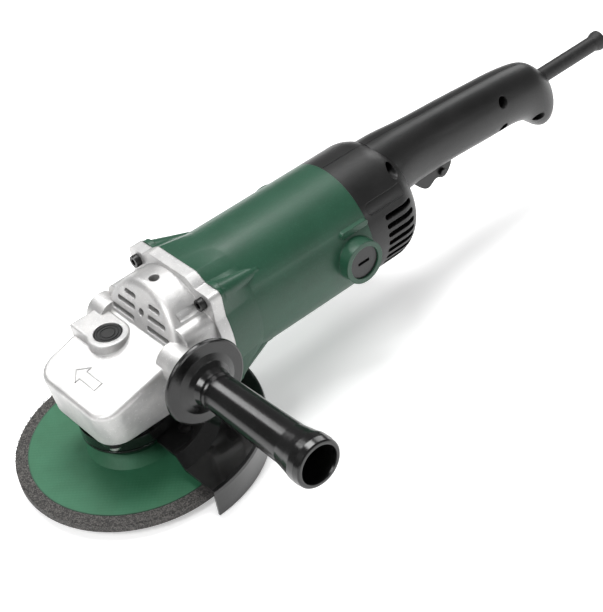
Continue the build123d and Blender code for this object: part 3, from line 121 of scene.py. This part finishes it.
class Finish:
    """One material under construction, with Object coordinates as its place."""

    def __init__(self, name):
        self.material = bpy.data.materials.new(name)
        self.material.use_nodes = True
        self.tree = self.material.node_tree
        self.shader = self.tree.nodes["Principled BSDF"]
        self.place = self.node("ShaderNodeTexCoord", {}, {}, "Object")

    def node(self, kind, settings, values, output=0):
        """A node of a kind: its settings first, then the values or links of its sockets."""
        made = self.tree.nodes.new(kind)
        for key, value in settings.items():
            setattr(made, key, value)
        for key, value in values.items():
            socket = made.inputs[key]
            if isinstance(value, Value):
                self.tree.links.new(value.socket, socket)
            else:
                socket.default_value = value
        return Value(self, made.outputs[output])

    def noise(self, size, detail=3.0, rough=0.55, stretch=(1, 1, 1)):
        """Cloudy noise whose lumps are about size metres across."""
        place = self.place
        if stretch != (1, 1, 1):
            place = self.node("ShaderNodeMapping", {}, {"Vector": self.place, "Scale": stretch})
        return self.node(
            "ShaderNodeTexNoise", {},
            {"Vector": place, "Scale": 1 / size, "Detail": detail, "Roughness": rough},
        )

    def cells(self, size, output="Distance"):
        """Packed cells about size metres across: their distance, or a colour for each."""
        return self.node("ShaderNodeTexVoronoi", {}, {"Vector": self.place, "Scale": 1 / size}, output)

    def along(self, axis):
        """The place along one axis, in metres."""
        return self.node("ShaderNodeSeparateXYZ", {}, {0: self.place}, axis)

    def mix(self, by, low, high):
        """A colour between low and high."""
        made = self.tree.nodes.new("ShaderNodeMix")
        made.data_type = "RGBA"
        for index, value in ((0, by), (6, low), (7, high)):
            if isinstance(value, Value):
                self.tree.links.new(value.socket, made.inputs[index])
            else:
                made.inputs[index].default_value = value
        return Value(self, made.outputs[2])

    def bump(self, height, depth, normal=None, strength=1.0):
        """A normal from a height of 0 to 1 that stands for depth metres."""
        values = {"Height": height, "Distance": depth, "Strength": strength}
        if normal is not None:
            values["Normal"] = normal
        return self.node("ShaderNodeBump", {}, values)

    def soft_edges(self, radius):
        """A normal that rounds sharp edges."""
        return self.node("ShaderNodeBevel", {"samples": 4}, {"Radius": radius})

    def surface(self, **values):
        """Sets the shader's sockets, with underscores for the spaces in their names."""
        for key, value in values.items():
            socket = self.shader.inputs[key.replace("_", " ")]
            if isinstance(value, Value):
                self.tree.links.new(value.socket, socket)
            else:
                socket.default_value = value
        return self.material


def grey(level, warm=0.0):
    """A grey with a little warmth, as a colour."""
    return (level * (1 + warm), level, level * (1 - warm), 1.0)


# ---- finishes ---------------------------------------------------------------------------
def moulded_plastic(
    name, colour, pale, roughness, grain, edge=0.5 * MM, coat=0.0, depth=0.05 * MM, shine=0.4, seam=0.0
):
    """Moulded plastic with a fine spark-eroded grain, handling marks and faint mottling."""
    f = Finish(name)
    cloud = f.noise(30 * MM, 4)
    rubbed = f.noise(9 * MM, 6, 0.6).above(0.56, 0.74)
    grain_height = f.noise(grain, 2, 0.5)
    speck = f.noise(grain * 1.7, 2, 0.5).above(0.5, 0.75)
    base = f.mix(cloud.above(0.3, 0.7), colour, pale)
    base = f.mix(speck * 0.16, base, tuple(min(1, c * 2.2) for c in pale[:3]) + (1,))
    if seam:
        line = abs(f.along("Y")).below(seam * 0.5, seam)
        base = f.mix(line * 0.85, base, grey(0.001))
        grain_height = grain_height - line * 6.0
    rough = roughness + (cloud - 0.5) * 0.12 - rubbed * 0.07
    normal = f.bump(grain_height, depth, f.soft_edges(edge))
    return f.surface(
        Base_Color=base, Roughness=rough, Normal=normal, Coat_Weight=coat, Coat_Roughness=0.2,
        Specular_IOR_Level=shine,
    )


def cast_alloy(name, level, painted_glint=0.3):
    """Sand-blasted light alloy: fine pits with painted shade in them, painted glints on tiny grains, and
    faint stains.
    """
    f = Finish(name)
    cloud = f.noise(18 * MM, 5, 0.6)
    pits = f.noise(0.55 * MM, 3, 0.65)
    grain = f.cells(0.8 * MM, "Color")
    lumps = f.noise(5 * MM, 3)
    tone = f.mix(cloud.above(0.35, 0.68), grey(level * 0.88, 0.004), grey(level * 1.06, 0.012))
    # Painted shade: the deepest parts of the pits are painted darker, as shade falling in them
    tone = f.mix(pits.below(0.3, 0.46) * 0.35, tone, grey(level * 0.5))
    # Painted glints: a few tiny grains are painted brighter, as if light caught them
    tone = f.mix(grain.math("GREATER_THAN", 0.86) * painted_glint, tone, grey(min(1, level * 1.45)))
    rough = 0.43 + (pits - 0.5) * 0.35 + cloud * 0.08
    normal = f.bump(lumps, 0.25 * MM, f.soft_edges(1.1 * MM), 0.6)
    normal = f.bump(pits, 0.09 * MM, normal)
    return f.surface(Base_Color=tone, Roughness=rough, Metallic=0.78, Normal=normal)


def worked_steel(name, level, roughness, warm=0.01, scratch=(1, 1, 12), depth=0.012 * MM, stain=0.35):
    """Turned or plated steel with fine tool marks and slight stains."""
    f = Finish(name)
    marks = f.noise(0.35 * MM, 3, 0.6, scratch)
    cloud = f.noise(7 * MM, 4, 0.6)
    tone = f.mix(cloud.above(0.4, 0.75) * stain, grey(level, warm), grey(level * 0.55, warm * 3))
    tone = f.mix(marks.above(0.62, 0.8) * 0.3, tone, grey(min(1, level * 1.6), warm))
    rough = roughness + (marks - 0.5) * 0.2 + cloud.above(0.45, 0.8) * 0.12
    normal = f.bump(marks, depth, f.soft_edges(0.35 * MM))
    return f.surface(Base_Color=tone, Roughness=rough, Metallic=0.95, Normal=normal)


def gloss_paint(name, level, roughness=0.13):
    """Thick gloss paint with orange peel, dust and faint swirls."""
    f = Finish(name)
    peel = f.noise(2.2 * MM, 2, 0.45)
    dust = f.noise(0.5 * MM, 2).above(0.7, 0.78)
    swirl = f.noise(12 * MM, 5, 0.65)
    tone = f.mix(swirl.above(0.4, 0.7), grey(level), grey(level * 1.5))
    tone = f.mix(dust * 0.35, tone, grey(0.16))
    rough = roughness + swirl.above(0.45, 0.75) * 0.09 + dust * 0.3
    normal = f.bump(peel, 0.055 * MM, f.soft_edges(0.8 * MM))
    return f.surface(Base_Color=tone, Roughness=rough, Normal=normal, Coat_Weight=0.55, Coat_Roughness=0.06)


def bonded_grit(name):
    """Bonded abrasive: dark resin, grains in greys and browns, and a few bright ones."""
    f = Finish(name)
    fine = f.cells(0.75 * MM, "Color")
    coarse = f.cells(1.5 * MM, "Distance")
    shade = f.noise(1.3 * MM, 4, 0.75)
    tone = f.mix(fine.above(0.25, 0.9), grey(0.022, 0.03), grey(0.105, 0.06))
    tone = f.mix(shade.above(0.6, 0.72) * 0.6, tone, grey(0.26, 0.04))
    tone = f.mix(coarse.below(0.12, 0.26) * 0.35, tone, grey(0.17, 0.12))
    rough = 0.78 + (shade - 0.5) * 0.3
    height = fine.above(0.1, 0.9) * 0.5 + shade
    normal = f.bump(height, 0.28 * MM, f.soft_edges(0.4 * MM))
    return f.surface(Base_Color=tone, Roughness=rough, Normal=normal)


def printed_label(name):
    """Thin green paper glued on the disc, with the glass mesh showing through it."""
    f = Finish(name)
    x, y = f.along("X"), f.along("Y")
    radius = (x * x + y * y) ** 0.5
    mesh_turns = 2 * math.pi / GLASS_MESH_PITCH
    weave = (x * mesh_turns).math("SINE") * (y * mesh_turns).math("SINE")
    fibre = f.noise(1.2 * MM, 4, 0.7)
    cloud = f.noise(26 * MM, 4, 0.6)
    tone = f.mix(cloud.above(0.3, 0.7), (0.018, 0.112, 0.052, 1), (0.024, 0.134, 0.066, 1))
    tone = f.mix(fibre.above(0.6, 0.75) * 0.16, tone, (0.07, 0.19, 0.13, 1))
    edge = radius.above(LABEL_R - 0.9 * MM, LABEL_R - 0.5 * MM)
    tone = f.mix(edge * 0.55, tone, (0.008, 0.03, 0.02, 1))
    rough = 0.62 + (fibre - 0.5) * 0.2
    normal = f.bump(weave * 0.5 + fibre * 0.8, 0.035 * MM)
    return f.surface(Base_Color=tone, Roughness=rough, Normal=normal)


def soft_rubber(name, level, grain=0.5 * MM):
    """Moulded rubber, matt, with fine pores and faint dust."""
    f = Finish(name)
    pores = f.noise(grain, 3, 0.6)
    dust = f.noise(6 * MM, 5, 0.65).above(0.5, 0.75)
    tone = f.mix(pores.above(0.35, 0.7), grey(level * 0.8), grey(level * 1.5))
    tone = f.mix(dust * 0.12, tone, grey(0.09))
    rough = 0.52 + dust * 0.14 + (pores - 0.5) * 0.1
    normal = f.bump(pores, 0.04 * MM, f.soft_edges(0.5 * MM))
    return f.surface(Base_Color=tone, Roughness=rough, Normal=normal)


def wound_copper(name, colour, size=0.9 * MM, axis="Z"):
    """Varnished wire or bare metal strip seen as fine ridges."""
    f = Finish(name)
    ridge = (f.along(axis) * (2 * math.pi / size)).math("SINE")
    varnish = f.noise(5 * MM, 4, 0.6)
    dark = tuple(c * 0.45 for c in colour[:3]) + (1,)
    tone = f.mix(varnish.above(0.35, 0.75), colour, dark)
    rough = 0.33 + varnish * 0.2
    normal = f.bump(ridge, 0.12 * MM)
    return f.surface(Base_Color=tone, Roughness=rough, Metallic=0.85, Normal=normal)


def stacked_iron(name, level):
    """Pressed plates stacked along the motor's axis."""
    f = Finish(name)
    plate = (f.along("X") * (2 * math.pi / (0.8 * MM))).math("SINE")
    rust = f.noise(6 * MM, 5, 0.65).above(0.5, 0.75)
    tone = f.mix(rust * 0.5, grey(level), (0.09, 0.05, 0.03, 1))
    rough = 0.45 + rust * 0.25
    return f.surface(Base_Color=tone, Roughness=rough, Metallic=0.8, Normal=f.bump(plate, 0.06 * MM))


HOUSING_GREEN = (0.0125, 0.058, 0.032, 1)
HOUSING_PALE = (0.017, 0.072, 0.041, 1)

green = moulded_plastic(
    "housing_green", HOUSING_GREEN, HOUSING_PALE, 0.40, 0.62 * MM, 1.0 * MM, 0.12, 0.075 * MM
)
tail_black = moulded_plastic(
    "tail_black", grey(0.0075), grey(0.0110), 0.40, 0.7 * MM, 0.7 * MM, 0.10, 0.07 * MM, seam=0.35 * MM
)
inner_black = moulded_plastic("inner_black", grey(0.015), grey(0.022), 0.5, 0.8 * MM)
cap_black = moulded_plastic("cap_black", grey(0.010), grey(0.017), 0.36, 0.6 * MM, 0.35 * MM, 0.15)
trigger_black = moulded_plastic("trigger_black", grey(0.008), grey(0.012), 0.36, 0.8 * MM, 1.0 * MM, 0.1)
handle_black = moulded_plastic(
    "handle_black", grey(0.0035), grey(0.0055), 0.22, 1.6 * MM, 1.0 * MM, 0.45, 0.03 * MM, shine=0.3
)
wire_red = moulded_plastic("wire_red", (0.30, 0.03, 0.02, 1), (0.35, 0.05, 0.03, 1), 0.4, 1.0 * MM)
head_alloy = cast_alloy("head_alloy", 0.58)
guard_paint = gloss_paint("guard_paint", 0.006)
ground_steel = worked_steel("ground_steel", 0.56, 0.24)
zinc_steel = worked_steel("zinc_steel", 0.60, 0.30, 0.02, (1, 1, 1))
black_steel = worked_steel("black_steel", 0.055, 0.36, 0.0, (1, 1, 1), stain=0.5)
dark_screw = worked_steel("dark_screw", 0.11, 0.34, 0.0, (1, 1, 1))
gear_steel = worked_steel("gear_steel", 0.30, 0.36, 0.02, (1, 1, 1))
polished_steel = worked_steel("polished_steel", 0.72, 0.10, 0.0, (1, 1, 1), 0.004 * MM, 0.1)
grit = bonded_grit("bonded_grit")
label_green = printed_label("label_green")
button_rubber = soft_rubber("button_rubber", 0.0075)
relief_rubber = soft_rubber("relief_rubber", 0.010)
copper = wound_copper("copper_windings", (0.45, 0.16, 0.05, 1), 0.9 * MM, "Y")
copper_bars = wound_copper("commutator_bars", (0.70, 0.34, 0.17, 1), 1.2 * MM, "X")
brass = worked_steel("brass", 0.55, 0.25, 0.35)
iron = stacked_iron("plate_iron", 0.16)
felt = soft_rubber("felt", 0.16, 0.3 * MM)

FINISHES = {
    green: ["motor_housing"],
    tail_black: ["handle_shell_left", "handle_shell_right"],
    inner_black: ["fan", "fan_baffle", "switch_body", "cord_clamp", "carbon_brushes"],
    cap_black: ["brush_caps", "lock_on_button"],
    trigger_black: ["trigger"],
    handle_black: ["side_handle_grip"],
    wire_red: ["lead_wires"],
    head_alloy: ["gear_case"],
    guard_paint: ["guard", "guard_clamp", "bearing_box"],
    ground_steel: [
        "spindle", "armature_shaft", "lock_pin", "trigger_pin", "disc_bushing", "side_handle_stud",
    ],
    zinc_steel: [
        "bearing_box_screws", "guard_clamp_screw", "inner_flange", "bearing_retainer", "stator_screws",
        "lock_spring", "trigger_spring", "brush_springs", "gear_retaining_ring",
    ],
    black_steel: ["lock_nut", "gear_case_screws"],
    dark_screw: ["handle_screws"],
    gear_steel: ["bevel_gear", "pinion"],
    polished_steel: [
        "spindle_bearing_outer", "spindle_bearing_inner", "spindle_bearing_balls",
        "front_bearing_outer", "front_bearing_inner", "front_bearing_balls",
        "rear_bearing_outer", "rear_bearing_inner", "rear_bearing_balls",
    ],
    grit: ["grinding_disc"],
    label_green: ["disc_label"],
    button_rubber: ["lock_button"],
    relief_rubber: ["strain_relief", "rear_bearing_sleeve"],
    copper: ["armature_windings", "field_coils"],
    copper_bars: ["commutator"],
    brass: ["brush_holders", "spindle_top_bush"],
    iron: ["armature_core", "stator_core"],
    felt: ["spindle_seal"],
}
for material, names in FINISHES.items():
    for name in names:
        mesh = nodes[name].data
        if not mesh.materials:
            mesh.materials.append(material)
        for index in range(len(nodes[name].material_slots)):
            nodes[name].material_slots[index].material = material


# ---- shapes -----------------------------------------------------------------------------
def piece(name, mesh, material, body):
    """An object for a finished mesh, riding on a body."""
    made = bpy.data.objects.new(name, mesh)
    bpy.context.scene.collection.objects.link(made)
    if not mesh.materials:
        mesh.materials.append(material)
    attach(made, body)
    return made


def tube_along(points, radius, closed=False, sides=8):
    """A round bead along a line of points."""
    curve = bpy.data.curves.new("bead", "CURVE")
    curve.dimensions = "3D"
    spline = curve.splines.new("POLY")
    spline.points.add(len(points) - 1)
    for target, point in zip(spline.points, points):
        target.co = (*point, 1.0)
    spline.use_cyclic_u = closed
    curve.bevel_depth = radius
    curve.bevel_resolution = max(0, sides // 4 - 1)
    curve.use_fill_caps = not closed
    carrier = bpy.data.objects.new("bead", curve)
    bpy.context.scene.collection.objects.link(carrier)
    mesh = bpy.data.meshes.new_from_object(carrier.evaluated_get(bpy.context.evaluated_depsgraph_get()))
    bpy.data.objects.remove(carrier)
    mesh.shade_smooth()
    return mesh


def merged_copy(name):
    """A CAD node's mesh with its doubles merged, for a piece that replaces it."""
    mesh = nodes[name].data.copy()
    shape = bmesh.new()
    shape.from_mesh(mesh)
    bmesh.ops.remove_doubles(shape, verts=shape.verts, dist=1e-6)
    shape.to_mesh(mesh)
    shape.free()
    return mesh


# Abrasive grains standing out of the disc's bare rim
def grain_tree():
    """A tree that strews small lumps over faces, with sizes as named inputs."""
    tree = bpy.data.node_groups.new("strewn_grains", "GeometryNodeTree")
    face = tree.interface
    face.new_socket("Geometry", in_out="INPUT", socket_type="NodeSocketGeometry")
    for label, kind, value in (
        ("Density", "NodeSocketFloat", 6.0e5),
        ("Grain Radius", "NodeSocketFloat", 0.35 * MM),
        ("Seed", "NodeSocketInt", 7),
        ("Finish", "NodeSocketMaterial", None),
    ):
        socket = face.new_socket(label, in_out="INPUT", socket_type=kind)
        if value is not None:
            socket.default_value = value
    face.new_socket("Geometry", in_out="OUTPUT", socket_type="NodeSocketGeometry")

    def add(kind, **links):
        made = tree.nodes.new(kind)
        for key, value in links.items():
            socket = made.inputs[key.replace("_", " ")]
            if isinstance(value, bpy.types.NodeSocket):
                tree.links.new(value, socket)
            else:
                socket.default_value = value
        return made

    start = tree.nodes.new("NodeGroupInput").outputs
    end = tree.nodes.new("NodeGroupOutput")
    strewn = add(
        "GeometryNodeDistributePointsOnFaces", Mesh=start[0], Density=start["Density"], Seed=start["Seed"]
    )
    lump = add("GeometryNodeMeshIcoSphere", Radius=start["Grain Radius"], Subdivisions=1)
    size = tree.nodes.new("FunctionNodeRandomValue")
    size.data_type = "FLOAT_VECTOR"
    size.inputs[0].default_value = (0.6, 0.6, 0.35)
    size.inputs[1].default_value = (1.5, 1.3, 0.8)
    tree.links.new(start["Seed"], size.inputs["Seed"])
    placed = add(
        "GeometryNodeInstanceOnPoints", Points=strewn.outputs["Points"], Instance=lump.outputs["Mesh"],
        Rotation=strewn.outputs["Rotation"], Scale=size.outputs[0],
    )
    real = add("GeometryNodeRealizeInstances", Geometry=placed.outputs[0])
    coated = add("GeometryNodeSetMaterial", Geometry=real.outputs[0], Material=start["Finish"])
    tree.links.new(coated.outputs[0], end.inputs[0])
    return tree


def strew(name, base_mesh, density, radius, seed, material, body):
    """Grains over a mesh, made into a plain mesh that rides on a body."""
    carrier = bpy.data.objects.new(name, base_mesh)
    bpy.context.scene.collection.objects.link(carrier)
    modifier = carrier.modifiers.new("grains", "NODES")
    modifier.node_group = grain_tree()
    wanted = {"Density": density, "Grain Radius": radius, "Seed": seed, "Finish": material}
    for item in modifier.node_group.interface.items_tree:
        if item.in_out == "INPUT" and item.name in wanted:
            modifier[item.identifier] = wanted[item.name]
    mesh = bpy.data.meshes.new_from_object(carrier.evaluated_get(bpy.context.evaluated_depsgraph_get()))
    bpy.data.objects.remove(carrier)
    return piece(name, mesh, material, body)


def rim_band(inner_r, outer_r, top_z, low_z, steps=180):
    """A band round the disc: a flat ring at top_z and an upright strip from it to low_z."""
    shape = bmesh.new()
    rings = []
    for radius, z in ((inner_r, top_z), (outer_r, top_z), (outer_r, low_z)):
        rings.append([
            shape.verts.new((radius * math.cos(a), radius * math.sin(a), z))
            for a in (2 * math.pi * i / steps for i in range(steps))
        ])
    for first, second in zip(rings, rings[1:]):
        for i in range(steps):
            j = (i + 1) % steps
            shape.faces.new((first[i], first[j], second[j], second[i])[::-1])
    mesh = bpy.data.meshes.new("rim")
    shape.to_mesh(mesh)
    shape.free()
    return mesh


GRAIN_R = 0.34 * MM
GRAINS_PER_SQUARE_METRE = 9.0e5
GRAIN_SEED = 11
# The strip ends above the rim's top, not on its side, so most grains on it stand clear of the disc
STRIP_END_Z = DISC_LOW.z + 7.0 * MM
strew(
    "rim_grains",
    rim_band(LABEL_R + 0.6 * MM, DISC_R - 0.25 * MM, RIM_TOP_Z - 0.1 * MM, STRIP_END_Z),
    GRAINS_PER_SQUARE_METRE, GRAIN_R, GRAIN_SEED, grit, "spindle_body",
)

# Outlined arrow on the roof of the gear case, showing which way the disc turns
ROOF_AT_SPINDLE = MOTOR_Z + 3.5 * MM
ROOF_SLOPE = 0.25
ARROW_X = -18.0 * MM
ARROW_LIFT = 0.18 * MM
ARROW_BEAD_R = 0.38 * MM
ARROW_SHAPE = ((0, 12), (-6.5, 4.5), (-3, 4.5), (-3, -11.5), (3, -11.5), (3, 4.5), (6.5, 4.5))
arrow_line = []
for across_mm, along_mm in ARROW_SHAPE:
    x = ARROW_X + across_mm * MM
    arrow_line.append((x, along_mm * MM, ROOF_AT_SPINDLE + ROOF_SLOPE * x + ARROW_LIFT))
arrow = piece("turning_arrow", tube_along(arrow_line, ARROW_BEAD_R, closed=True), head_alloy, "casing")


def pressed_spring(node, body):
    """A copy of a spring that rides on its body."""
    made = piece(node + "_coil", merged_copy(node), zinc_steel, body)
    made.data.shade_smooth()
    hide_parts(node)
    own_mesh(made)
    return made


pressed_spring("lock_spring", "lock_button_body")
pressed_spring("trigger_spring", "trigger_body")

# ---- floor, lights and camera -----------------------------------------------------------
floor_mesh = bpy.data.meshes.new("floor")
floor_shape = bmesh.new()
bmesh.ops.create_grid(floor_shape, x_segments=2, y_segments=2, size=6.0)
floor_shape.to_mesh(floor_mesh)
floor_shape.free()
floor = bpy.data.objects.new("floor", floor_mesh)
floor_finish = Finish("floor_white")
floor_cloud = floor_finish.noise(0.6, 2)
floor_finish.surface(
    Base_Color=floor_finish.mix(floor_cloud, grey(0.90), grey(0.92)), Roughness=0.75 + floor_cloud * 0.05,
    Emission_Color=(1, 1, 1, 1), Emission_Strength=0.4,
)
floor_mesh.materials.append(floor_finish.material)
bpy.context.scene.collection.objects.link(floor)
floor.location = (0, 0, cad_box[0].z - 0.4 * MM)


def softbox(name, place, aim, size, power):
    """A rectangular soft light at a place, pointing at a target."""
    lamp = bpy.data.lights.new(name, "AREA")
    lamp.shape = "RECTANGLE"
    lamp.size, lamp.size_y = size
    lamp.energy = power
    made = bpy.data.objects.new(name, lamp)
    bpy.context.scene.collection.objects.link(made)
    made.location = place
    made.rotation_euler = (Vector(aim) - Vector(place)).to_track_quat("-Z", "Y").to_euler()
    return made


MIDDLE = (0.16, 0.0, 0.06)
softbox("overhead", (0.30, 0.35, 1.5), MIDDLE, (0.75, 0.6), 17)
softbox("left_key", (-1.1, -0.2, 1.2), MIDDLE, (0.5, 0.8), 15)
softbox("front_fill", (0.5, -1.6, 0.55), MIDDLE, (1.6, 0.18), 5)
softbox("back_strip", (-0.05, 1.05, 1.2), MIDDLE, (0.7, 0.3), 6)
softbox("right_rim", (1.3, 0.5, 0.9), MIDDLE, (0.4, 1.0), 5)

world = bpy.data.worlds.new("studio")
world.use_nodes = True
world.node_tree.nodes["Background"].inputs["Color"].default_value = (1, 1, 1, 1)
world.node_tree.nodes["Background"].inputs["Strength"].default_value = 0.17
bpy.context.scene.world = world
bpy.context.scene.view_settings.view_transform = "Standard"

# The camera's place, angles and lens are the rounded result of a fit made outside this script
CAMERA_PLACE = Vector((-0.32196, -0.69535, 0.69495))
CAMERA_AZIMUTH = math.radians(-33.747)
CAMERA_ELEVATION = math.radians(38.815)
CAMERA_ROLL = math.radians(-10.762)
CAMERA_LENS = 96.06
back = Vector((
    math.sin(CAMERA_AZIMUTH) * math.cos(CAMERA_ELEVATION),
    -math.cos(CAMERA_AZIMUTH) * math.cos(CAMERA_ELEVATION),
    math.sin(CAMERA_ELEVATION),
))
level_right = Vector((math.cos(CAMERA_AZIMUTH), math.sin(CAMERA_AZIMUTH), 0))
level_up = back.cross(level_right)
right = level_right * math.cos(CAMERA_ROLL) + level_up * math.sin(CAMERA_ROLL)
up = level_up * math.cos(CAMERA_ROLL) - level_right * math.sin(CAMERA_ROLL)
camera = bpy.data.objects.new("camera", bpy.data.cameras.new("camera"))
camera.data.lens = CAMERA_LENS
camera.data.sensor_width = 36.0
camera.data.clip_start = 0.01
camera.matrix_world = Matrix.Translation(CAMERA_PLACE) @ Matrix((right, up, back)).transposed().to_4x4()
bpy.context.scene.collection.objects.link(camera)
bpy.context.scene.camera = camera
